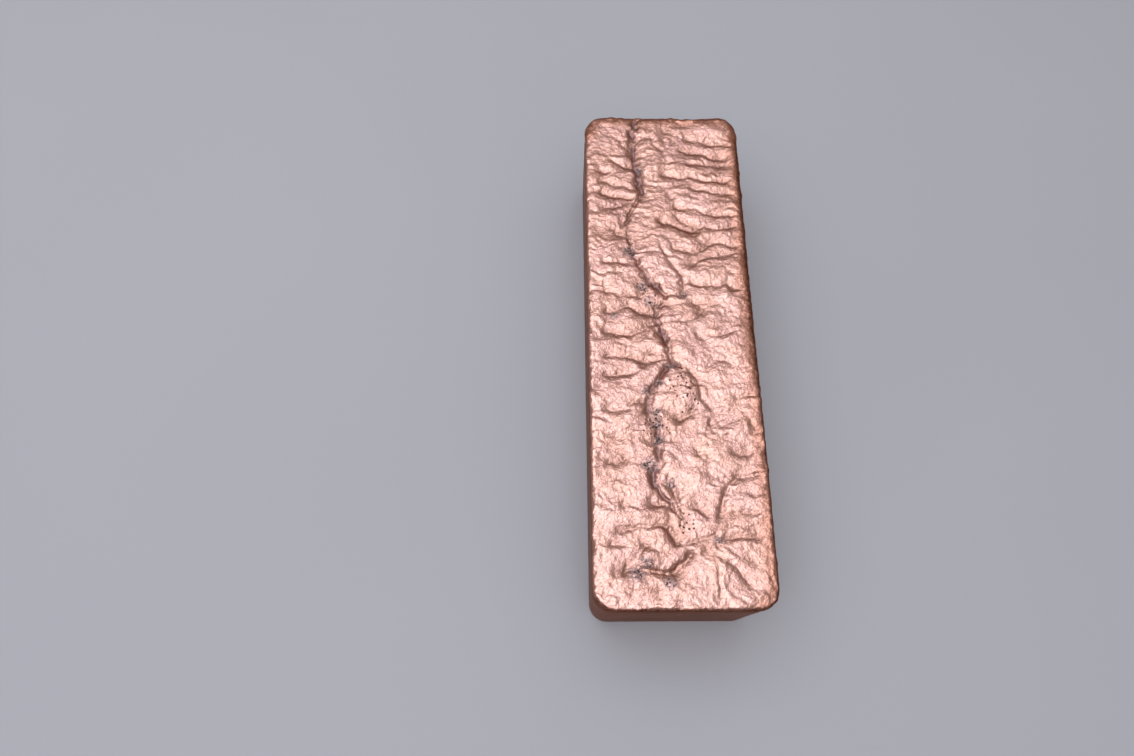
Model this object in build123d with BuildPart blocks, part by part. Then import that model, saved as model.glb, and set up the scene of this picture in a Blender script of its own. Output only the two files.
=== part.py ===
from build123d import *

import os
from math import exp, hypot, prod, radians, tan

# A cast copper ingot: one solid bar, poured into an open mould and left to set with its free face up.
# The walls lean outwards towards the free face, so that the bar drops out of its mould. The free face has a
# rolled rim where the metal met the mould, sags a little to its middle, and is parted by the seam where the
# metal set last. Creases between the skin's folds run from the walls to the seam and round its front end.
# Millimetres, +Z up, long side along Y, origin at the middle of the flat base.

# The bar
base_length = 200.0
base_width = 62.0
height = 50.5
draft_degrees = 1.2
corner_radius = 8.0
base_edge_radius = 1.5
rim_radius = 3.5

# The free face, which cuts off the rolled rim this much under its crest
rim_trim = 0.08
sag = 0.6
end_flatness = 4

# The seam's valley and its branches, and the creases between folds
seam_depth = 1.6
branch_depth = 0.9
crease_depth = 0.55
valley_half_width = 3.0
crease_half_width = 3.2
share_at_rim = 0.4
full_share_at = 0.33

# Where they run: shares of the half width across and of the half length along
seam_route = [
    (-0.03, -0.68), (-0.22, -0.60), (-0.30, -0.55), (-0.22, -0.43), (-0.30, -0.30), (-0.28, -0.22),
    (-0.04, -0.10), (-0.14, 0.04), (-0.18, 0.12), (0.00, 0.15), (-0.28, 0.26), (-0.45, 0.38), (-0.46, 0.52),
    (-0.30, 0.62), (-0.39, 0.86), (-0.34, 1.06),
]
branch_routes = [
    [(-0.04, -0.10), (0.20, -0.13), (0.30, -0.24), (0.40, -0.30)],
    [
        (-0.15, -0.64), (-0.12, -0.74), (0.03, -0.78), (0.34, -0.74), (0.44, -0.65), (0.62, -0.55),
        (0.94, -0.53),
    ],
    [(-0.09, 0.39), (0.16, 0.26), (0.12, 0.16)],
    [(0.33, -0.76), (0.38, -0.84), (0.36, -0.93)],
]
crease_routes = [
    [(0.25, 0.89), (0.90, 0.86)],
    [(0.25, 0.79), (0.90, 0.77)],
    [(-0.05, 0.73), (0.34, 0.70), (0.90, 0.69)],
    [(0.28, 0.64), (0.90, 0.62)],
    [(0.10, 0.56), (0.60, 0.53), (0.90, 0.52)],
    [(0.06, 0.40), (0.22, 0.36), (0.60, 0.40), (0.90, 0.39)],
    [(0.22, 0.22), (0.60, 0.21), (0.90, 0.20)],
    [(0.40, -0.12), (0.90, -0.11)],
    [(0.20, -0.42), (0.60, -0.46), (0.90, -0.45)],
    [(0.45, -0.67), (0.90, -0.66)],
    [(0.40, -0.76), (0.90, -0.75)],
    [(-0.90, 0.72), (-0.65, 0.73), (-0.40, 0.75)],
    [(-0.90, 0.62), (-0.50, 0.60)],
    [(-0.78, 0.46), (-0.60, 0.42)],
    [(-0.90, 0.31), (-0.50, 0.30)],
    [(-0.90, 0.19), (-0.30, 0.17)],
    [(-0.90, 0.08), (-0.60, 0.10), (-0.25, 0.10)],
    [(-0.90, -0.08), (-0.20, -0.09)],
    [(-0.90, -0.29), (-0.35, -0.26)],
    [(-0.90, -0.49), (-0.55, -0.48)],
    [(-0.75, -0.65), (-0.40, -0.66)],
    [(-0.75, -0.73), (-0.25, -0.70)],
    [(-0.50, -0.87), (-0.12, -0.85), (0.10, -0.79)],
]

# The free face's sections
section_pitch = 2.5
spare_sections = 2
spare_depth = 5.0

# Worked out
lean = tan(radians(draft_degrees))
half_width = base_width / 2 + height * lean
half_length = base_length / 2 + height * lean
valleys = [(seam_route, seam_depth)] + [(route, branch_depth) for route in branch_routes]
creases = [(route, crease_depth) for route in crease_routes]


def distance_to_run(x, y, start, end):
    """How far a point is from the straight run between two places."""
    run_x, run_y = end[0] - start[0], end[1] - start[1]
    way = ((x - start[0]) * run_x + (y - start[1]) * run_y) / (run_x**2 + run_y**2)
    way = min(max(way, 0.0), 1.0)
    return hypot(x - start[0] - way * run_x, y - start[1] - way * run_y)


def nearness(route, half_reach, x, y):
    """1 on a route, falling to 0 on both sides and past its ends."""
    places = [(across * half_width, along * half_length) for across, along in route]
    aside = min(distance_to_run(x, y, start, end) for start, end in zip(places, places[1:]))
    return exp(-((aside / half_reach) ** 2))


def left_whole(routes, half_reach, x, y):
    """The share of the face's full depth that the valleys and creases leave standing."""
    return prod(1 - nearness(route, half_reach, x, y) * depth / seam_depth for route, depth in routes)


def free_face_height(x, y):
    """The free face's height: level at the rim, sagging to the middle, with seam, branches and creases."""
    inside = max(0.0, 1 - (x / half_width) ** 2) * max(0.0, 1 - (y / half_length) ** end_flatness)
    rim_share = share_at_rim + (1 - share_at_rim) * min(1.0, inside / full_share_at)
    whole = left_whole(valleys, valley_half_width, x, y) * left_whole(creases, crease_half_width, x, y)
    return height - sag * inside - seam_depth * rim_share * (1 - whole)


def stations(half_span):
    """Evenly spaced places from one side of the face to the other, and a few past each."""
    count = round(2 * half_span / section_pitch)
    return [half_span * (2 * step / count - 1) for step in range(-spare_sections, count + spare_sections + 1)]


# The metal under the free face: sections across the bar, one behind the other
places_across = stations(half_width)
even_steps = [step / (len(places_across) - 1) for step in range(len(places_across))]
with BuildPart() as poured_metal:
    for y in stations(half_length):
        surface_points = [(x, free_face_height(x, y)) for x in places_across]
        left_foot = (places_across[0], -spare_depth)
        right_foot = (places_across[-1], -spare_depth)
        with BuildSketch(Plane.XZ.offset(-y)):
            with BuildLine():
                add(Edge.make_spline(surface_points, parameters=even_steps))
                Polyline(surface_points[-1], right_foot, left_foot, surface_points[0])
            make_face()
    loft()

with BuildPart() as ingot:
    with BuildSketch():
        RectangleRounded(base_width, base_length, corner_radius)
    extrude(amount=height + rim_trim, taper=-draft_degrees)
    fillet(ingot.faces().sort_by(Axis.Z)[-1].edges(), rim_radius)
    fillet(ingot.faces().sort_by(Axis.Z)[0].edges(), base_edge_radius)
    add(poured_metal.part, mode=Mode.INTERSECT)

ingot.part.label = "ingot"
os.makedirs("parts", exist_ok=True)
export_step(ingot.part, "parts/ingot.step")
print("volume", ingot.part.volume, "size", ingot.part.bounding_box().size)
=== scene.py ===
from math import cos, pi, radians, sin

import bpy
import numpy as np
from mathutils import Matrix, Vector


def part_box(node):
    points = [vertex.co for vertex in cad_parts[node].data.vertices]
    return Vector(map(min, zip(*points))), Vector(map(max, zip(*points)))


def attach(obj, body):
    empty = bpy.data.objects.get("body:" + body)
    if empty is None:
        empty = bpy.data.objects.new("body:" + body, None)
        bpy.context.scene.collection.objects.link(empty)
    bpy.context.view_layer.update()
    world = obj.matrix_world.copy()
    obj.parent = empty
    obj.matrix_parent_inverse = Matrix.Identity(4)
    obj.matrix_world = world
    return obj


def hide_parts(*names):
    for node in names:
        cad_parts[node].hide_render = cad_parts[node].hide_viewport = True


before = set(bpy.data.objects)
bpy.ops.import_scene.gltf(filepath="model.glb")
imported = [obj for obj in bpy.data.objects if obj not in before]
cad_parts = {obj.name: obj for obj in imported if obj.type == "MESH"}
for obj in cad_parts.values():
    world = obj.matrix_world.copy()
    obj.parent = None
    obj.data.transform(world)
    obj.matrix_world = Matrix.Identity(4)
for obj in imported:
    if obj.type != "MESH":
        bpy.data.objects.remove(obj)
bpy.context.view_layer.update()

# A cast copper ingot with the wrinkled skin of its free face, on a plain pale floor.
# Places and sizes of the bar are in millimetres, in the part's own frame. Its finished mesh is in metres.
mm = 0.001

# The bar, from the frame, and the sizes that its box doesn't give
half_width, half_length, height = (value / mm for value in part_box("ingot")[1])
corner_radius = 8.0
base_edge_radius = 1.5
base_ring_inset = 2.0
lean = radians(1.2)
wall_unevenness = 0.16

# The rim is tight in front and on the left, and broad elsewhere. Right under it the wall draws in a little.
rim_radius = 2.7
rim_easing = 1.7
tight_rim = 0.5
lip_depth = 0.5
lip_fall = 1.6
# How far the rim's painted shade reaches down the wall
rim_shade_reach = 1.6
lump_height = 0.4
small_lump_height = 0.25

# The rim's roll: its radius is largest where it leaves the free face, and eases to rim_radius at the wall
roll_turns = np.linspace(0, pi / 2 + lean, 91)
roll_radii = rim_radius * (1 + rim_easing * (1 - roll_turns / roll_turns[-1]) ** 3)
roll_step = roll_turns[1]


def roll_sum(rates):
    """What adds up along the roll, from nothing at its start."""
    return np.concatenate([[0], np.cumsum((rates[1:] + rates[:-1]) / 2 * roll_step)])


roll_lengths = roll_sum(roll_radii)
roll_outs = roll_sum(roll_radii * np.cos(roll_turns))
roll_downs = roll_sum(roll_radii * np.sin(roll_turns))
roll_out = roll_outs.max()
roll_spare = roll_lengths[-1] - roll_out

# The straight sides end where the corners' arcs begin
corner_x = half_width - corner_radius
corner_y = half_length - corner_radius

# The mesh: cells of the free face, and rows of cells that grow taller down the wall
cell = 0.45
wall_rows = 14
wall_row_growth = 2.0
base_edge_rows = 4

# The free face: it sags to its middle, by nearly as much along most of the bar
sag = 0.75
face_drop = 0.2
end_flatness = 4

# What is drawn into its skin: depths, and how far from each line they reach
fold_depth = 0.9
fold_reaches = (1.15, 2.3)
deep_fold_depth = 1.25
deep_fold_reaches = (0.95, 2.3)
crease_depth = 0.42
crease_reach = 0.9
branch_depth = 0.7
branch_reach = 1.0
cleft_depth = 0.8
cleft_reach = 1.05
cleft_bottom_reach = 1.3
valley_depth = 0.5
valley_reach = 3
pore_depth = 0.15

# The skin between those lines: its rise over the sagging face, and the heights of its swellings
skin_rise = 0.25
swelling_height = 0.3
ripple_height = 0.4
wrinkle_height = 0.16
cross_wrinkle_height = 0.11
fine_wrinkle_height = 0.06

# The seam: the metal's last place to set, as places across and along
seam_lines = [
    [(-11, 106), (-11, 98), (-12.4, 90), (-12, 83), (-10.7, 75), (-10, 68), (-9.8, 61), (-13, 57), (-15, 52),
     (-15.5, 47), (-14.5, 38), (-12.5, 32), (-9.5, 27), (-6, 22), (-2.5, 17.5), (0, 14.5)],
    [(0, 14.5), (-4, 13), (-6, 12), (-5.3, 8), (-4.5, 4), (-3, -1), (-1.8, -6), (-0.8, -10.5), (1.5, -12),
     (4, -12.5)],
    [(-1.2, -10), (-4, -15), (-6.5, -18), (-8.5, -21), (-9.2, -24), (-10.4, -26.5), (-9.5, -31), (-8, -35),
     (-7, -39), (-7.2, -44), (-7.3, -49), (-9.5, -53), (-9.5, -57), (-7, -60.5), (-4, -64), (-1, -69)],
]
branch_lines = [
    [(4, -12.5), (7, -14.5), (9, -20), (9.6, -25), (12, -28), (13, -30.5)],
    [(-9, -55), (-5, -57), (-2.5, -60), (-1.5, -64), (0, -67), (1, -70.5)],
    [(-4, -64), (-5, -71), (-4, -75), (-1, -78), (1, -79), (4, -77.5), (9, -76), (11, -75), (12.5, -72)],
    [(12.5, -72), (13.5, -68), (14.5, -64), (16, -60), (18, -57), (20, -55), (26, -54), (30, -53)],
    [(-3, 39), (-1, 35), (1, 32), (3, 29), (5, 26), (6, 22.5), (5.8, 20), (4, 15)],
    [(-19, 90), (-17, 87), (-15, 84.5), (-13, 82.5), (-11, 79)],
]

# Folds that the skin makes across the nearest wall
fold_lines = [
    [(8, 89.5), (13, 88.5), (18, 87.5), (21, 86.5), (29, 86)],
    [(6, 84), (9, 83), (13, 82.5), (17, 82), (20, 80.5), (28, 79.5)],
    [(8, 78), (11, 77.3), (15, 77), (19, 76.5), (28, 76.3)],
    [(-3, 72.5), (0, 72), (4, 71), (8, 70.5), (11, 70.3), (15, 69.7), (20, 68.5), (28, 69.5)],
    [(9, 65), (13, 64.7), (17, 64), (21, 63), (29, 62.8)],
    [(0, 63), (3, 61), (6, 59.8)],
    [(2, 57.5), (6, 56), (11, 55.8), (15, 54.5), (20, 52.8), (29, 52.5)],
    [(2, 54), (5, 51.5), (8, 49), (12, 47.5), (18, 47), (29, 47.5)],
    [(-4.5, 52), (-2, 50), (2, 49), (5, 47.5), (9, 46), (14, 45)],
    [(2, 40), (3.5, 37.5), (7, 36.5), (11, 36), (15, 38.5), (19, 40.5), (24, 39.5), (30, 38.5)],
    [(8, 28), (9, 30.5), (13, 33), (19, 34.5), (28, 36)],
    [(6.5, 22), (9, 22.5), (13, 21.5), (18, 21), (22, 22.5), (24, 20.5), (29, 19.5)],
    [(6, 15), (9, 14), (12, 12), (12, 9), (14, 7)],
    [(13, -15), (12.5, -12.5), (14, -11), (16, -10), (24, -11.5)],
    [(0, -36), (0.5, -33), (3, -32), (5, -31.5), (6.5, -29), (8, -26)],
    [(6, -42), (7, -46), (9, -49)],
    [(10.5, -33), (12, -35), (13, -37)],
    [(17, -45), (22, -46.5), (28, -46)],
    [(15, -67.5), (20, -67.8), (29, -67)],
    [(12, -76), (15, -76.5), (20, -76), (29, -76.5)],
    [(0, -66), (3, -65.5), (6, -66), (9, -69), (11, -70)],
    [(-29, 73.5), (-25, 73.2), (-21, 72.8)],
    [(-24, 80), (-21, 78.5), (-18, 76.8), (-14, 75), (-12, 74)],
    [(-28, 68), (-24, 68), (-20, 67), (-16, 66.5), (-12, 65), (-10.5, 63.5)],
    [(-28, 63), (-24, 62), (-19, 61.3), (-16, 60), (-12, 60)],
    [(-28, 55.3), (-23, 56.5), (-18, 57.5), (-14, 58.5)],
    [(-25, 47), (-21, 46), (-20, 43.5), (-16, 41.5)],
    [(-28, 32), (-24, 31.5), (-20, 31), (-17, 31), (-16, 30)],
    [(-28, 19.5), (-24, 18.8), (-20, 17.5), (-15, 17), (-12, 16.5), (-9, 16.5)],
    [(-28, 10.5), (-22, 10), (-18, 12), (-16, 12), (-13, 10.5), (-9, 9.5), (-6, 10)],
    [(-28, 1.5), (-22, 1), (-16, 0.7), (-11, 2.5), (-8, 5), (-6.5, 8)],
    [(-28, -9), (-22, -8), (-15, -9), (-10, -10.5), (-4, -9.5)],
    [(-28, -15.5), (-22, -16), (-14, -15)],
    [(-28, -30), (-22, -30), (-18, -29), (-17, -27.5), (-14, -26.5), (-10, -26.5)],
    [(-28, -40), (-24, -39.5), (-20, -38.5)],
    [(-28, -49.5), (-24, -49.5), (-20, -49), (-17, -47)],
    [(-24, -65), (-18, -65), (-13, -66.5)],
    [(-14, -63), (-11, -64), (-8, -64.5), (-4, -64)],
    [(-28, -77.5), (-24, -79), (-21, -79), (-18, -77.5)],
    [(-26, -88.5), (-22, -87.5), (-20, -86), (-18, -85.5), (-13, -85)],
]

# The deepest folds, in front of the seam's end
deep_lines = [
    [(-24, -74), (-19, -73), (-13, -72), (-8, -71.5), (-5, -73.5), (-3.5, -77), (-1, -80.5)],
    [(4, -80.5), (1, -82.5), (-1, -85), (-3.5, -87.5), (-8, -88), (-13, -87), (-17, -87), (-23, -88.5)],
    [(-14, -84), (-16, -81.5), (-14, -79.5), (-10.5, -80)],
]

# Creases that run along the bar
crease_lines = [
    [(-4.5, 98), (-4.5, 93), (-4, 89), (-3, 86), (0, 83), (1, 80), (2, 77), (1, 74), (0.5, 72)],
    [(1, 96), (0.5, 90), (2, 86), (3, 83.5)],
    [(-12, 45), (-11.5, 40), (-11, 35.5)],
    [(-13, 17), (-11, 19), (-10, 23)],
    [(22, 29), (24, 27), (26, 25)],
    [(0, 15), (0, 12), (1.5, 9), (3.5, 6.5)],
    [(11, 5), (9.5, 2), (10, 0), (13, -2), (14, -4)],
    [(8.5, -5), (9, -8)],
    [(-12, -14), (-11.5, -11), (-10.5, -8), (-8, -6), (-6, -4.5)],
    [(-3.5, -31), (-4, -36), (-2, -39.5), (-3.5, -43)],
    [(-13, -38.5), (-11, -41), (-9.5, -44)],
    [(-5, -51), (-4, -55), (-3, -57), (-1, -61)],
    [(10.5, -76), (12, -79), (12.5, -83), (12.3, -85), (11.5, -90), (11.8, -94), (12.5, -99)],
    [(4.5, -86), (4, -90), (5, -93.5)],
    [(-9, -90), (-9.5, -94), (-9, -99)],
    [(-17, -89), (-18, -93), (-19, -98)],
    [(13, -82), (17, -86), (21, -91), (24, -94)],
    [(14, -79), (20, -83.5), (27, -86)],
    [(-22, -88), (-25, -91), (-27, -94)],
]

# Where the seam gapes: places and reach
seam_gapes = [(-12, 90, 9), (-10.5, 71, 8), (-9, 22, 6), (-3.5, 1, 8), (-7.5, -36, 13), (-8.5, -52, 7)]

# Broad swells and dips: places, reach and height
swells = [
    (22, 98, 9, 0.55), (-21, 98, 9, 0.4), (7, 98, 6, -0.45), (2, -22, 6, 0.45), (-20, 70, 8, 0.3),
    (18, 60, 9, 0.35), (20, 28, 8, 0.3), (-22, 24, 8, 0.3), (18, -20, 9, 0.25), (-20, -30, 9, 0.3),
    (8, -55, 9, 0.35), (-20, -70, 8, 0.25), (-4, 30, 6, 0.3), (-14, -83, 6, 0.5), (8, -80, 5, -0.4),
    (-3, 78, 5, 0.4), (3, -72, 5, -0.3), (-2.5, -87.5, 3, -0.5),
]

# Where gas left pinholes, and where the oxide stains are: places and reach
porous_places = [
    (2.5, -19, 6), (3.5, -26, 5.5), (1, -71, 4), (-10.3, 21, 4), (-7.5, 16, 3.5), (-7.5, -36, 6),
]
stains = [
    (-7.5, -30, 2.4), (-7.2, -35, 2.2), (-7, -41, 2.2), (-10.5, -50, 3.2), (-10.2, 21, 2.4),
    (-15.3, 36, 2.8), (-16.5, -88.5, 3.2), (-13, -84.5, 2.4), (-5.5, -91.5, 2.6), (-8.5, 14.5, 2.2),
    (-22, 8.5, 1.8), (-11, -22, 2.0), (-6, -19, 2.0), (5, 17, 1.8), (-1, -12.5, 2.2), (-9.8, 74, 2.0),
    (-3.5, -57, 2.0), (12, -77, 1.8),
]

# The fan of folds round the seam's front end
fan_x = 2.0
fan_y = -73.0
fan_radius = 17.0

# Colours of the copper and its oxides, and of the painted shade in its hollows, on and under its rim and in
# its pinholes
clean_pink = (0.79, 0.475, 0.42, 1)
clean_warm = (0.78, 0.46, 0.385, 1)
clean_tan = (0.70, 0.40, 0.315, 1)
# Browner copper for the hollows: partly the oxide there, partly painted shade
hollow_oxide_and_painted_shade = (0.45, 0.24, 0.185, 1)
# Painted shade for the rim, where it rolls under and along its right side
rim_shade_brown = (0.52, 0.245, 0.165, 1)
wall_light = (0.40, 0.235, 0.193, 1)
wall_dark = (0.31, 0.18, 0.145, 1)
# Painted shade: the dark line where the rim rolls under onto the wall
painted_lip_shade = (0.16, 0.06, 0.038, 1)
seam_brown = (0.30, 0.17, 0.165, 1)
oxide_grey = (0.38, 0.30, 0.315, 1)
oxide_black = (0.05, 0.04, 0.045, 1)
# Painted shade inside the pinholes
painted_pore_shade = (0.03, 0.02, 0.02, 1)
gloss_tint = (0.55, 0.32, 0.25, 1)

# Relief finer than the mesh, in metres
crinkle_depth = 0.4 * mm
grain_depth = 0.1 * mm
pit_depth = 0.3 * mm

# The floor, in metres
floor_half = 3.0
floor_dark = (0.455, 0.48, 0.53, 1)
floor_light = (0.49, 0.515, 0.565, 1)

# The lights, in metres: a bright key panel, and above it wider, fainter ones with the same front and left
cool_white = (0.97, 1.0, 1.07)
key_place = (-0.265, -0.05, 1.15)
key_size = (0.97, 1.3)
key_radiance = 1.15
fill_front = -1.2
fill_left = -1.3
fill_backs_and_rights = [(0.75, 0.30), (1.15, 0.60), (1.75, 1.10)]
fill_level = 1.2
fill_level_step = 0.05
fill_radiance = 0.23
surround = (0.33, 0.275, 0.25, 1)


# Patterns. In a call such as noise(p / 11, q / 9, 5) the features are 11 by 9 mm and the seed is 5.

def lattice_angle(cell_x, cell_y, seed):
    """A repeatable direction for each lattice point."""
    # Large factors scatter the bits of the lattice point's numbers and of the seed
    mixed = cell_x.astype(np.int64) * 374761393 + cell_y.astype(np.int64) * 668265263 + seed * 974634777
    mixed = mixed & 0xFFFFFFFF
    mixed = ((mixed ^ (mixed >> 13)) * 1274126177) & 0xFFFFFFFF
    mixed = mixed ^ (mixed >> 16)
    return mixed / 0xFFFFFFFF * 2 * pi


def noise(x, y, seed):
    """Smooth gradient noise between about -1 and 1, with features about one unit wide."""
    cell_x, cell_y = np.floor(x), np.floor(y)
    part_x, part_y = x - cell_x, y - cell_y
    ease_x = part_x**3 * (part_x * (part_x * 6 - 15) + 10)
    ease_y = part_y**3 * (part_y * (part_y * 6 - 15) + 10)
    total = np.zeros_like(x)
    for step_x in (0, 1):
        for step_y in (0, 1):
            angle = lattice_angle(cell_x + step_x, cell_y + step_y, seed)
            reach = np.cos(angle) * (part_x - step_x) + np.sin(angle) * (part_y - step_y)
            weight = (ease_x if step_x else 1 - ease_x) * (ease_y if step_y else 1 - ease_y)
            total += weight * reach
    return total * 1.5


def rounded(distance, easing):
    """A distance whose sharp change of slope at 0 is rounded off."""
    return np.sqrt(distance**2 + easing**2) - easing


def bulges(across, along, seed):
    """Rounded bulges, one flank steeper than the other, with narrow creases between them."""
    steeper = 0.3 * noise(across, along, seed)
    return 1.5 * rounded(noise(across, along + steeper, seed), 0.12) - 0.4


def smooth(value, low, high):
    """Eased from 0 at low to 1 at high."""
    part = np.clip((value - low) / (high - low), 0, 1)
    return part * part * (3 - 2 * part)


def bell(distance, reach):
    """1 at no distance, falling off smoothly on both sides."""
    return np.exp(-((distance / reach) ** 2))


def nearness(x, y, points):
    """Distance to a line, more than 0 on its left and less on its right, and how far from its ends."""
    best = np.full_like(x, np.inf)
    aside = np.zeros_like(x)
    from_ends = np.zeros_like(x)
    lengths = [np.hypot(b[0] - a[0], b[1] - a[1]) for a, b in zip(points, points[1:])]
    whole = sum(lengths)
    done = 0.0
    for (start, end), length in zip(zip(points, points[1:]), lengths):
        run_x, run_y = (end[0] - start[0]) / length, (end[1] - start[1]) / length
        along = np.clip((x - start[0]) * run_x + (y - start[1]) * run_y, 0, length)
        off_x, off_y = x - start[0] - along * run_x, y - start[1] - along * run_y
        distance = np.hypot(off_x, off_y)
        nearer = distance < best
        best = np.where(nearer, distance, best)
        aside = np.where(nearer, np.where(run_x * off_y > run_y * off_x, distance, -distance), aside)
        from_ends = np.where(nearer, np.minimum(done + along, whole - done - along), from_ends)
        done += length
    return aside, from_ends


def line_strength(number, from_ends):
    """How strong a line is: each has its own depth, and dies out at its ends."""
    return smooth(from_ends, -0.5, 3.5) * (0.75 + 0.5 * ((number * 0.618) % 1.0))


def creases(x, y, lines, depth, reaches):
    """Creases between folds, steeper on the side that comes first, and how near each place is to one."""
    steep_reach, gentle_reach = reaches
    total = np.zeros_like(x)
    claimed = np.zeros_like(x)
    for number, points in enumerate(lines):
        aside, from_ends = nearness(x, y, points)
        strength = line_strength(number, from_ends)
        reach = steep_reach + (gentle_reach - steep_reach) * smooth(aside, -0.8, 0.8)
        total -= strength * depth * np.exp(-rounded(aside, 0.4) / reach)
        claimed = np.maximum(claimed, strength * bell(aside, 4))
    return total, np.minimum(claimed, 1)


def grooves(x, y, lines, depth, reach):
    """Sharp valleys along lines."""
    total = np.zeros_like(x)
    for number, points in enumerate(lines):
        aside, from_ends = nearness(x, y, points)
        total -= line_strength(number, from_ends) * depth * np.exp(-rounded(aside, 0.5) / reach)
    return total


def spots(p, q, places, ragged):
    """Round marks with ragged edges, 1 in their middles."""
    total = np.zeros_like(p)
    for spot_x, spot_y, radius in places:
        away = np.hypot(p - spot_x, q - spot_y) / radius + ragged * noise(p / 1.6, q / 1.6, 24)
        total = np.maximum(total, 1 - smooth(away, 0.3, 1.3))
    return total


# The skin of the free face

def flow(p, q):
    """Places carried along by slow and quick eddies, so that what is drawn at them flows and pinches."""
    x = p + 3.0 * noise(p / 11, q / 9, 5) + 0.9 * noise(p / 4.0, q / 3.2, 6)
    y = q + 2.4 * noise(p / 10, q / 8, 7) + 0.8 * noise(p / 4.2, q / 3.4, 8)
    return x + 0.35 * noise(x / 1.9, y / 1.6, 9), y + 0.3 * noise(x / 2.1, y / 1.7, 10)


def wander(p, q):
    """Places that stray a little, so that lines drawn at them aren't straight."""
    x = p + 0.7 * noise(p / 4.5, q / 4.5, 1) + 0.3 * noise(p / 1.7, q / 1.7, 2)
    y = q + 0.7 * noise(p / 4.5, q / 4.5, 3) + 0.3 * noise(p / 1.7, q / 1.7, 4)
    return x, y


def wall_folds(p, q, u, v):
    """Folds and wrinkles that stand across the nearest wall, with a fan round the seam's front end."""
    front = smooth(-q, 74, 88)
    right = smooth(p + 4 * noise(p / 20, q / 20, 11), -12, 4)
    back = smooth(q, 76, 94) * smooth(-p, -14, -4)
    fan_turn = np.arctan2(u - fan_x, fan_y - v) * fan_radius
    fan_out = np.hypot(u - fan_x, v - fan_y)

    left_folds = 0.45 * bulges(u / 14, v / 4.6, 12) + 0.17 * bulges(u / 6, v / 2.2, 13)
    right_folds = 0.52 * bulges(u / 15, v / 6.0, 14) + 0.18 * bulges(u / 6.5, v / 2.7, 15)
    front_folds = 0.4 * bulges(fan_turn / 3.8, fan_out / 12, 16)
    front_folds += 0.2 * bulges(fan_turn / 2.0, fan_out / 6, 17)
    back_folds = 0.5 * bulges(u / 5.2, v / 12, 18) + 0.2 * bulges(u / 2.4, v / 6, 19)
    sides = left_folds * (1 - right) + right_folds * right
    return sides * (1 - front) * (1 - back) + front_folds * front + back_folds * back


def wrinkles(u, v, patch):
    """Wrinkles between the folds: they lie across the bar, bend with the flow, and come in patches."""
    across = wrinkle_height * bulges(u / 3.4, v / 2.5, 28)
    slanting = cross_wrinkle_height * noise(u / 1.7 + 0.2 * v, v / 1.4, 29)
    fine = fine_wrinkle_height * noise(u / 1.0 - 0.2 * v, v / 0.9, 30)
    return (across + slanting) * patch + fine


def torn_seam(p, q):
    """The seam's valley, torn and ragged, and how near each place is to its bottom."""
    valley = np.zeros_like(p)
    bottom = np.zeros_like(p)
    ragged = 0.95 + 0.4 * noise(p / 3.2, q / 3.2, 21) + 0.5 * noise(p / 6, q / 6, 22)
    ragged = np.clip(ragged, 0.45, 1.4)
    gape = 0.7 + 0.9 * spots(p, q, seam_gapes, 0.2)
    across = p + 0.8 * noise(p / 2.6, q / 2.4, 32) + 0.2 * noise(p / 1.2, q / 1.2, 40)
    for points in seam_lines:
        aside, from_ends = nearness(across, q, points)
        strength = smooth(from_ends, -1.0, 3.0) * ragged
        away = np.abs(aside) / gape
        depth = cleft_depth * bell(away, cleft_reach) + valley_depth * bell(aside, valley_reach)
        valley = np.maximum(valley, strength * depth)
        bottom = np.maximum(bottom, strength * bell(away, cleft_bottom_reach))
    valley += 0.16 * bottom * noise(p / 1.3, q / 1.9, 23)
    return valley, np.minimum(bottom, 1)


def free_skin(p, q):
    """The skin's height over the sagging face, and shares of seam, pores, stains and hollows."""
    x, y = wander(p, q)
    u, v = flow(p, q)
    folded, near_fold = creases(x, y, fold_lines, fold_depth, fold_reaches)
    deeply_folded, near_deep_fold = creases(x, y, deep_lines, deep_fold_depth, deep_fold_reaches)
    claimed = np.maximum(near_fold, near_deep_fold)
    relief = skin_rise + folded + deeply_folded + wall_folds(p, q, u, v) * (1 - 0.6 * claimed)
    relief += swelling_height * noise(p / 24, q / 21, 25) + ripple_height * noise(u / 9, v / 7, 26)
    for swell_x, swell_y, reach, rise in swells:
        relief += rise * bell(np.hypot(p - swell_x, q - swell_y), reach)
    relief += grooves(x, y, crease_lines, crease_depth, crease_reach)
    relief += grooves(x, y, branch_lines, branch_depth, branch_reach)
    relief += wrinkles(u, v, 0.5 + 0.8 * smooth(noise(p / 9, q / 7, 27), -0.35, 0.45))

    valley, seam = torn_seam(p, q)
    relief = relief * (1 - 0.5 * seam) - valley
    porous = spots(p, q, porous_places, 0.3)
    relief -= pore_depth * porous * smooth(noise(p / 0.9, q / 0.9, 34), 0.1, 0.5)
    stain = spots(p, q, stains, 0.5)
    # The lower a place lies, the more it takes the browner colour: partly oxide, partly painted shade
    hollow = smooth(-relief, -0.3, 1.2)
    return relief, {"seam": seam, "porous": porous, "stain": stain, "hollow": hollow}


# The rim, and the skin rolled over it

def rolled_grid():
    """Even places over the free face and its rolled rim, with the sheet's corners drawn in to arcs."""
    across_half = half_width + roll_spare
    along_half = half_length + roll_spare
    corner_reach = corner_radius + roll_spare
    places_across = np.linspace(-across_half, across_half, round(2 * across_half / cell) + 1)
    places_along = np.linspace(-along_half, along_half, round(2 * along_half / cell) + 1)
    p, q = np.meshgrid(places_across, places_along)
    share_x = np.clip((np.abs(p) - corner_x) / corner_reach, 0, 1)
    share_y = np.clip((np.abs(q) - corner_y) / corner_reach, 0, 1)
    arc_x = corner_x + corner_reach * share_x * np.sqrt(1 - share_y**2 / 2)
    arc_y = corner_y + corner_reach * share_y * np.sqrt(1 - share_x**2 / 2)
    p = np.where(share_x > 0, np.sign(p) * arc_x, p)
    q = np.where(share_y > 0, np.sign(q) * arc_y, q)
    return p, q


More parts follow.
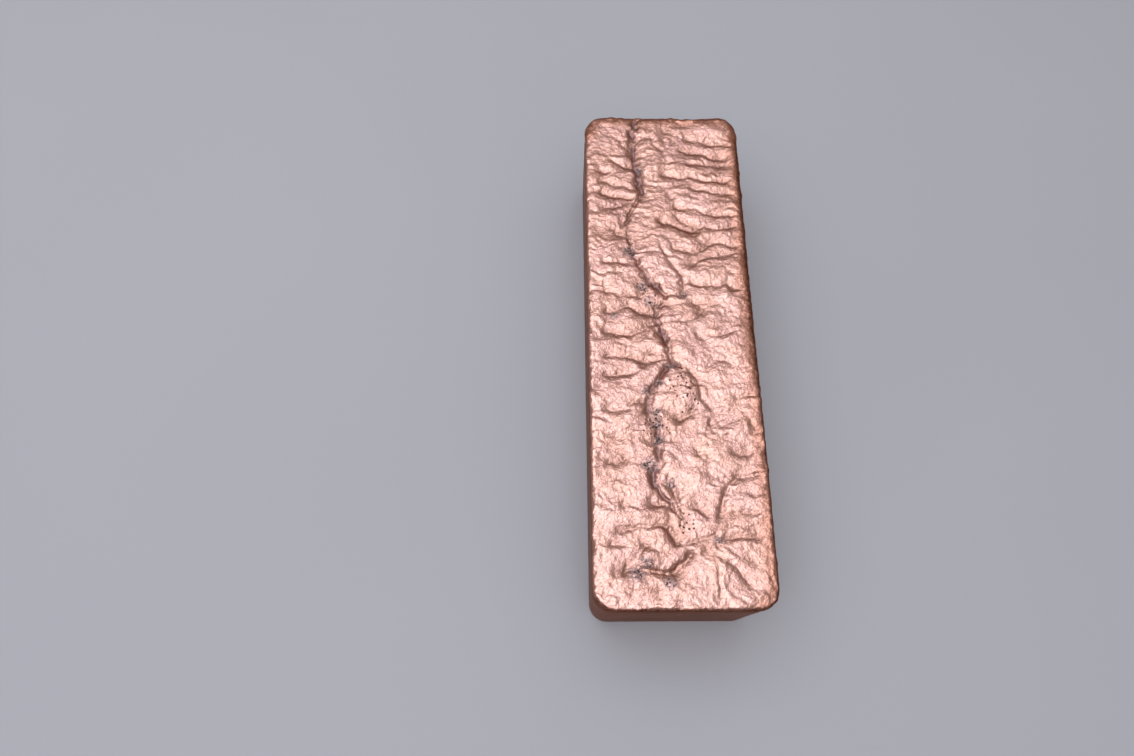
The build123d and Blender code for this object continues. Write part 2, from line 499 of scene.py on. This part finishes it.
def rim_share(p, q):
    """The rim's radius as a share of the widest: wide behind and far along the right, tight elsewhere."""
    back = smooth(q, 80, 99)
    right_back = smooth(p, 20, 29) * smooth(q + 8 * noise(q / 9, p / 9, 36), -60, 25)
    wide = np.maximum(back, right_back) + 0.25 * noise(p / 8, q / 8, 35)
    return tight_rim + (1 - tight_rim) * np.clip(wide, 0, 1)


def rim_shade_tint(p, q, flat_out, turn, wide):
    """How far the rim's painted shade shows in brown: all round where it rolls under, and inwards where the
    rim is broad.
    """
    broad = np.maximum(smooth(wide, 0.55, 0.85), 0.85 * smooth(p, 21, 26))
    near_edge = smooth(flat_out, corner_radius - 8, corner_radius - 2)
    near_edge = np.clip(near_edge + 0.25 * noise(p / 1.5, q / 1.5, 41), 0, 1)
    return np.maximum(0.6 * smooth(turn, 0.5, 1.2), near_edge * broad)


def lip_shade_tint(p, q, turn):
    """The painted shade line where the rim rolls under: strong in front and on the right, faint elsewhere."""
    ragged = turn + 0.2 * noise(p / 1.1, q / 1.1, 42)
    faint = np.maximum(smooth(q, 80, 98), smooth(-p, 24, 30) * smooth(q, -100, -92))
    return smooth(ragged, 0.3, 0.6) * (1 - 0.75 * faint)


def outward_way(p, q):
    """How far each place is past where the corners' arcs begin, and the way outward there."""
    over_x = np.maximum(np.abs(p) - corner_x, 0) * np.sign(p)
    over_y = np.maximum(np.abs(q) - corner_y, 0) * np.sign(q)
    out = np.hypot(over_x, over_y)
    return out, over_x / np.maximum(out, 1e-9), over_y / np.maximum(out, 1e-9)


def rolled(out, wide):
    """The flat sheet's reach, and how far the rim's roll has turned it, drawn it in and let it down."""
    flat_out = out * (corner_radius + wide * roll_spare) / (corner_radius + roll_spare)
    flat_end = corner_radius - wide * roll_out
    past = np.maximum(flat_out - flat_end, 0) / wide
    turn = np.interp(past, roll_lengths, roll_turns)
    drawn_in = out - np.minimum(flat_out, flat_end) - wide * np.interp(past, roll_lengths, roll_outs)
    down = wide * np.interp(past, roll_lengths, roll_downs)
    return flat_out, turn, drawn_in, down


def top_surface(p, q):
    """Points of the free face and rim, the way outward at each, and the shares for the finish."""
    out, way_x, way_y = outward_way(p, q)
    wide = rim_share(p, q)
    flat_out, turn, drawn_in, down = rolled(out, wide)

    relief, shares = free_skin(p, q)
    inside = np.maximum(0, 1 - (p / half_width) ** 2)
    inside *= np.maximum(0, 1 - (q / half_length) ** end_flatness)
    over_rim = 1 - smooth(turn, 0.35, 1.5)
    at_edge = 0.7 + 0.3 * smooth(inside, 0.0, 0.25)
    lift = relief * over_rim * at_edge - sag * inside - face_drop
    lumps = lump_height * noise(p / 5.5, q / 5.5, 47) + small_lump_height * noise(p / 2.2, q / 2.2, 38)
    lift += lumps * (1 - smooth(inside, 0.0, 0.15)) * (1 - smooth(turn, 1.0, 1.6))

    x = p - way_x * drawn_in + way_x * np.sin(turn) * lift
    y = q - way_y * drawn_in + way_y * np.sin(turn) * lift
    z = height - down + np.cos(turn) * lift
    shares = {name: share * over_rim for name, share in shares.items()}
    shares["wall"] = smooth(turn, 1.1, 1.55)
    # The painted shade line where the rim rolls under
    shares["lip_shade"] = lip_shade_tint(p, q, turn)
    # The rim's painted shade, in brown
    shares["rim"] = rim_shade_tint(p, q, flat_out, turn, wide)
    return np.stack([x, y, z], -1), np.stack([way_x, way_y], -1), shares


# The mesh: the rolled skin, the walls and the base

def border(rows, columns):
    """Row and column numbers once round a grid's edge, anticlockwise from its front left corner."""
    front = [(0, column) for column in range(columns - 1)]
    right = [(row, columns - 1) for row in range(rows - 1)]
    back = [(rows - 1, column) for column in range(columns - 1, 0, -1)]
    left = [(row, 0) for row in range(rows - 1, 0, -1)]
    return np.array(front + right + back + left)


def wall_rings(edge, outward):
    """Rings of points down the wall, round the base edge and in under the base."""
    down = np.concatenate([-outward * sin(lean), np.full((len(edge), 1), -cos(lean))], 1)
    normal = np.concatenate([outward * cos(lean), np.full((len(edge), 1), -sin(lean))], 1)
    slant = (edge[:, 2:] - base_edge_radius * (1 - sin(lean))) / cos(lean)
    rings = []
    for row in range(1, wall_rows + 1):
        share = (row / wall_rows) ** wall_row_growth
        fallen = slant * share
        ring = edge + down * fallen
        uneven = noise(ring[:, 0] / 17 + ring[:, 2] / 30, ring[:, 1] / 17 + ring[:, 2] / 14, 31)
        swelling = wall_unevenness * uneven[:, None] * sin(pi * share)
        under_lip = lip_depth * fallen / lip_fall * np.exp(1 - fallen / lip_fall)
        rings.append(ring + normal * (swelling - under_lip))
    foot = edge + down * slant
    arc_centre = foot - normal * base_edge_radius
    for step in range(1, base_edge_rows + 1):
        angle = -lean - (pi / 2 - lean) * step / base_edge_rows
        swing = np.concatenate([outward * cos(angle), np.full((len(edge), 1), sin(angle))], 1)
        rings.append(arc_centre + swing * base_edge_radius)
    inner = rings[-1].copy()
    inner[:, :2] -= outward * base_ring_inset
    rings.append(inner)
    return rings


def skin_faces(rows, columns, round_edge, ring_count):
    """Four-sided faces over the grid and down the rings, and one face for the base."""
    numbers = np.arange(rows * columns).reshape(rows, columns)
    corners = [numbers[:-1, :-1], numbers[:-1, 1:], numbers[1:, 1:], numbers[1:, :-1]]
    faces = np.stack(corners, -1).reshape(-1, 4).tolist()
    upper = numbers[round_edge]
    for ring_number in range(ring_count):
        lower = rows * columns + ring_number * len(upper) + np.arange(len(upper))
        faces += np.stack([lower, np.roll(lower, -1), np.roll(upper, -1), upper], -1).tolist()
        upper = lower
    faces.append(upper[::-1].tolist())
    return faces


def wall_shares(below_top, edge_lip_shade, ring_count):
    """The finish's shares down the walls: all wall, with the rim's painted shade and the painted shade line
    under it fading from the top.
    """
    return {
        "wall": np.ones_like(below_top),
        # The rim's painted shade, fading down the wall
        "rim": np.exp(below_top / rim_shade_reach),
        # The painted shade line under the rim, fading down the wall
        "lip_shade": np.exp(below_top / lip_fall) * np.tile(edge_lip_shade, ring_count),
    }


def ingot_mesh():
    """One closed skin: free face, rolled rim, drafted walls, rounded base edge and flat base."""
    p, q = rolled_grid()
    top, outward, shares = top_surface(p, q)
    round_edge = tuple(border(*p.shape).T)
    rings = wall_rings(top[round_edge], outward[round_edge])
    points = np.concatenate([top.reshape(-1, 3), *rings])
    faces = skin_faces(*p.shape, round_edge, len(rings))
    mesh = bpy.data.meshes.new("ingot_skin")
    mesh.from_pydata((points * mm).tolist(), [], faces)

    below_top = np.concatenate([ring[:, 2] for ring in rings]) - top[round_edge][:, 2].mean()
    on_walls = wall_shares(below_top, shares["lip_shade"][round_edge], len(rings))
    for name, share in shares.items():
        layer = mesh.attributes.new(name, "FLOAT", "POINT")
        lower = on_walls.get(name, np.zeros_like(below_top))
        layer.data.foreach_set("value", np.concatenate([share.ravel(), lower]))
    mesh.shade_smooth()
    mesh.update()
    return mesh


# The finish

class Nodes:
    """Short calls for a material's nodes."""

    def __init__(self, name):
        self.material = bpy.data.materials.new(name)
        self.material.use_nodes = True
        self.tree = self.material.node_tree
        self.shader = self.tree.nodes["Principled BSDF"]

    def add(self, kind, inputs=(), **settings):
        """A node with its settings, and numbers or links for its inputs."""
        node = self.tree.nodes.new(kind)
        for key, value in settings.items():
            setattr(node, key, value)
        for key, value in dict(inputs).items():
            self.give(node.inputs[key], value)
        return node

    def give(self, socket, value):
        """Links a socket to another, or sets its value."""
        if isinstance(value, bpy.types.NodeSocket):
            self.tree.links.new(value, socket)
        else:
            socket.default_value = value

    def places(self):
        """Places on the object itself, in metres."""
        return self.add("ShaderNodeTexCoord").outputs["Object"]

    def share(self, name):
        """A share that is kept in the mesh."""
        return self.add("ShaderNodeAttribute", attribute_name=name).outputs["Fac"]

    def noise(self, where, scale, detail=2.0, roughness=0.5, distortion=0.0):
        """Noise from 0 to 1, with scale features to the metre."""
        inputs = {"Vector": where, "Scale": scale, "Detail": detail}
        inputs |= {"Roughness": roughness, "Distortion": distortion}
        return self.add("ShaderNodeTexNoise", inputs).outputs["Fac"]

    def stretched(self, where, stretch):
        """The same places with each axis scaled."""
        return self.add("ShaderNodeMapping", {"Vector": where, "Scale": stretch}).outputs["Vector"]

    def ramp(self, value, low, high, start=0.0, end=1.0):
        """A value eased from start at low to end at high."""
        inputs = {"Value": value, "From Min": low, "From Max": high, "To Min": start, "To Max": end}
        return self.add("ShaderNodeMapRange", inputs, interpolation_type="SMOOTHSTEP").outputs["Result"]

    def times(self, one, other):
        """The product of two values."""
        return self.add("ShaderNodeMath", {0: one, 1: other}, operation="MULTIPLY").outputs["Value"]

    def plus(self, one, other):
        """The sum of two values, held between 0 and 1."""
        node = self.add("ShaderNodeMath", {0: one, 1: other}, operation="ADD", use_clamp=True)
        return node.outputs["Value"]

    def mix(self, share, one, other):
        """A colour between two."""
        node = self.tree.nodes.new("ShaderNodeMix")
        node.data_type = "RGBA"
        # The node's sockets for colours: its share, its two colours and its result
        for socket, value in zip((node.inputs[0], node.inputs[6], node.inputs[7]), (share, one, other)):
            self.give(socket, value)
        return node.outputs[2]

    def bump(self, height, depth, strength, under=None):
        """Surface relief finer than the mesh, depth in metres."""
        inputs = {"Height": height, "Distance": depth, "Strength": strength}
        if under is not None:
            inputs["Normal"] = under
        return self.add("ShaderNodeBump", inputs).outputs["Normal"]


def clean_metal(n, where, mottle):
    """The free face's metal: pink, warmer and tanner in patches, and browner in the hollows, partly from
    oxide and partly as painted shade.
    """
    patches = n.noise(where, 90, detail=4.0, roughness=0.65, distortion=0.6)
    metal = n.mix(n.ramp(patches, 0.38, 0.64), clean_pink, clean_warm)
    bands = n.noise(n.stretched(where, (1.0, 2.0, 1.0)), 160, detail=4.0, roughness=0.65, distortion=0.8)
    metal = n.mix(n.times(n.ramp(bands, 0.48, 0.72), 0.5), metal, clean_tan)
    # Painted shade with some oxide: the hollows coloured browner
    hollow = n.times(n.share("hollow"), n.ramp(mottle, 0.0, 1.0, 0.55, 0.95))
    return n.mix(hollow, metal, hollow_oxide_and_painted_shade)


def rim_and_walls(n, where, mottle, wall, metal):
    """The rim's painted shade in brown, the walls' darker brown in faint streaks along the bar, and the
    painted shade line between them.
    """
    # Painted shade on the rim, in brown
    rim = n.times(n.share("rim"), n.ramp(mottle, 0.0, 1.0, 0.75, 1.0))
    metal = n.mix(rim, metal, rim_shade_brown)
    along_bar = n.stretched(where, (110, 45, 190))
    streaks = n.noise(along_bar, 1.0, detail=5.0, roughness=0.65, distortion=0.6)
    # The walls in a darker brown than the free face, in faint streaks
    oxide = n.mix(n.ramp(streaks, 0.38, 0.68), wall_light, wall_dark)
    metal = n.mix(n.times(wall, n.ramp(rim, 0.2, 0.9, 1.0, 0.3)), metal, oxide)
    # The painted shade line where the rim rolls under
    lip_shade = n.times(n.share("lip_shade"), n.ramp(mottle, 0.0, 1.0, 0.7, 1.0))
    return n.mix(lip_shade, metal, painted_lip_shade)


def seam_share(n, specks):
    """How far the seam's oxide shows, in specks that gather towards its bottom."""
    return n.ramp(n.plus(n.times(n.share("seam"), 0.6), n.times(specks, 0.6)), 0.55, 0.95)


def stained(n, where, specks, colour):
    """Stains of grey and black oxide over a colour, and how far they cover it."""
    stain = n.share("stain")
    blotches = n.noise(where, 1200, detail=4.0, roughness=0.7)
    grey = n.times(stain, n.ramp(blotches, 0.38, 0.58, 0.0, 0.85))
    colour = n.mix(grey, colour, oxide_grey)
    black = n.times(stain, n.ramp(specks, 0.49, 0.58))
    return n.mix(black, colour, oxide_black), n.plus(grey, black)


def pore_share(n, where, specks):
    """Pinholes, in the places that gas left porous."""
    holes = n.add("ShaderNodeTexVoronoi", {"Vector": where, "Scale": 750.0, "Randomness": 1.0})
    open_hole = n.ramp(holes.outputs["Distance"], 0.20, 0.32, 1.0, 0.0)
    return n.times(open_hole, n.times(n.ramp(n.share("porous"), 0.2, 0.6), n.ramp(specks, 0.42, 0.5)))


def cast_skin(n, where, wall, pores):
    """Crinkles about a millimetre apart, the grain of the cast skin, and the pinholes' pits."""
    places = n.stretched(where, (0.95, 1.0, 1.0))
    crinkle = n.noise(places, 900, detail=3.0, roughness=0.55, distortion=0.8)
    grain = n.noise(where, 2600, detail=2.0, roughness=0.6)
    skin = n.bump(crinkle, crinkle_depth, n.ramp(wall, 0.0, 1.0, 0.75, 0.15))
    skin = n.bump(grain, grain_depth, 0.45, skin)
    return n.bump(pores, pit_depth, 0.8, skin)


def copper():
    """Satin cast copper: pinkish facets, hollows browner from oxide and painted shade, a rim in painted
    shade, darker brown walls, dark oxide in seam and stains, and painted shade under the rim and in the
    pinholes.
    """
    n = Nodes("cast_copper")
    where = n.places()
    wall = n.share("wall")
    mottle = n.ramp(n.noise(where, 900, detail=3.0, roughness=0.6), 0.35, 0.75)
    specks = n.noise(where, 1100, detail=3.0, roughness=0.7, distortion=0.6)

    colour = rim_and_walls(n, where, mottle, wall, clean_metal(n, where, mottle))
    seam = seam_share(n, specks)
    colour, stain = stained(n, where, specks, n.mix(seam, colour, seam_brown))
    pores = pore_share(n, where, specks)
    # The pinholes coloured near black as painted shade
    n.give(n.shader.inputs["Base Color"], n.mix(pores, colour, painted_pore_shade))
    n.give(n.shader.inputs["Specular Tint"], gloss_tint)

    dull = n.plus(n.plus(n.times(seam, 0.35), n.times(stain, 0.75)), pores)
    n.give(n.shader.inputs["Metallic"], n.ramp(dull, 0.0, 1.0, 1.0, 0.3))
    satin = n.noise(where, 260, detail=3.0, roughness=0.6)
    roughness = n.plus(n.ramp(satin, 0.3, 0.7, 0.17, 0.24), n.times(wall, 0.1))
    n.give(n.shader.inputs["Roughness"], n.plus(roughness, n.times(dull, 0.35)))
    n.give(n.shader.inputs["Normal"], cast_skin(n, where, wall, pores))
    return n.material


def floor_finish():
    """Plain pale matt grey, with a trace of unevenness."""
    n = Nodes("floor_grey")
    cloud = n.noise(n.places(), 5.0, detail=2.0)
    n.give(n.shader.inputs["Base Color"], n.mix(cloud, floor_dark, floor_light))
    n.shader.inputs["Roughness"].default_value = 0.75
    n.shader.inputs["Specular IOR Level"].default_value = 0.25
    return n.material


# The scene

def add_object(name, data):
    """An object in the scene, at the origin."""
    made = bpy.data.objects.new(name, data)
    bpy.context.scene.collection.objects.link(made)
    return made


def add_ingot():
    """The bar's dressed skin, in place of its plain solid."""
    piece = add_object("ingot_cast", ingot_mesh())
    piece.data.materials.append(copper())
    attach(piece, "root")
    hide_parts("ingot")


def add_floor():
    """A level floor under the bar."""
    half = floor_half
    corners = [(-half, -half, 0), (half, -half, 0), (half, half, 0), (-half, half, 0)]
    mesh = bpy.data.meshes.new("floor")
    mesh.from_pydata(corners, [], [(0, 1, 2, 3)])
    floor = add_object("floor", mesh)
    floor.data.materials.append(floor_finish())


def add_panel(name, place, size, radiance):
    """A soft panel that shines evenly, straight down, with its power worked out from its radiance."""
    light = bpy.data.lights.new(name, "AREA")
    light.shape = "RECTANGLE"
    light.size, light.size_y = size
    light.energy = radiance * pi * light.size * light.size_y
    light.color = cool_white
    lamp = add_object(name, light)
    lamp.location = place


def add_lights():
    """A bright soft panel overhead, wider and fainter ones above it, and an even warm surround."""
    add_panel("key", key_place, key_size, key_radiance)
    for number, (back, right) in enumerate(fill_backs_and_rights):
        level = fill_level + fill_level_step * number
        middle = ((fill_left + right) / 2, (fill_front + back) / 2, level)
        add_panel(f"panel_{number + 1}", middle, (right - fill_left, back - fill_front), fill_radiance)
    world = bpy.data.worlds.new("surround")
    world.use_nodes = True
    world.node_tree.nodes["Background"].inputs["Color"].default_value = surround
    bpy.context.scene.world = world


def add_camera():
    """The photograph's camera: a hand-held view from in front, high above the bar."""
    photo_width = 1134
    focal_pixels = 840.8
    place = Vector((-46.85, -128.89, 339.17)) * mm
    yaw = Matrix.Rotation(radians(-3.55), 4, "Z")
    pitch = Matrix.Rotation(radians(90 - 68.86), 4, "X")
    roll = Matrix.Rotation(radians(3.41), 4, "Z")
    data = bpy.data.cameras.new("camera")
    data.sensor_width = 36
    data.lens = focal_pixels * data.sensor_width / photo_width
    data.clip_start = 0.01
    camera = add_object("camera", data)
    turned = yaw @ pitch @ roll
    camera.matrix_world = Matrix.Translation(place) @ turned
    bpy.context.scene.camera = camera


add_camera()
add_lights()
add_floor()
add_ingot()
bpy.context.scene.view_settings.view_transform = "Standard"
